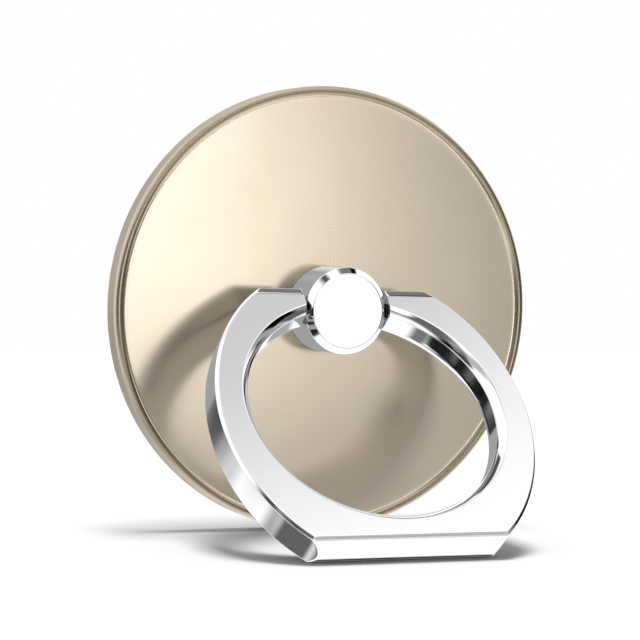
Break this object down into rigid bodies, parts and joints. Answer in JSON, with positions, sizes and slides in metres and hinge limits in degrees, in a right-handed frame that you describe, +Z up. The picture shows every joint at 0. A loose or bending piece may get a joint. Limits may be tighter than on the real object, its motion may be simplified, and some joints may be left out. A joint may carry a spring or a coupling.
{
  "type": "phone ring holder",
  "caption": "Round adhesive plate with a turning hub and a hinged finger ring whose flat foot props up a phone.",
  "frame": {"origin": "centre of the pad's sticky face", "axes": "+Y points out of the sticky face, towards the phone, so the ring is on the -Y side; +Z is up as the part stands; X runs along the ring's hinge"},
  "size_m": [0.04, 0.0221, 0.04],
  "materials": {
    "gold_plate": "satin champagne-gold plating on a zinc casting",
    "chrome_casting": "bright chrome plating on a zinc casting",
    "small_steel": "plain steel",
    "nylon": "natural nylon",
    "foam_pad": "dark foam with an adhesive face"
  },
  "bodies": {
    "plate": {"base_plate": "gold_plate", "adhesive_pad": "foam_pad", "glide_washer": "nylon"},
    "swivel": {"hub": "chrome_casting", "friction_sleeve": "nylon", "swivel_screw": "small_steel", "clamp_washer": "small_steel", "spring_washer": "small_steel"},
    "ring": {"finger_ring": "chrome_casting", "hinge_pin": "small_steel"}
  },
  "joints": [
    {"name": "hub_swivel", "type": "hinge", "parent": "plate", "child": "swivel", "pos_m": [0, 0, 0], "axis": [0, -1, 0], "continuous": true},
    {"name": "ring_swing", "type": "hinge", "parent": "swivel", "child": "ring", "pos_m": [0, -0.00545, 0], "axis": [-1, 0, 0], "range_deg": [-39, 141]}
  ]
}
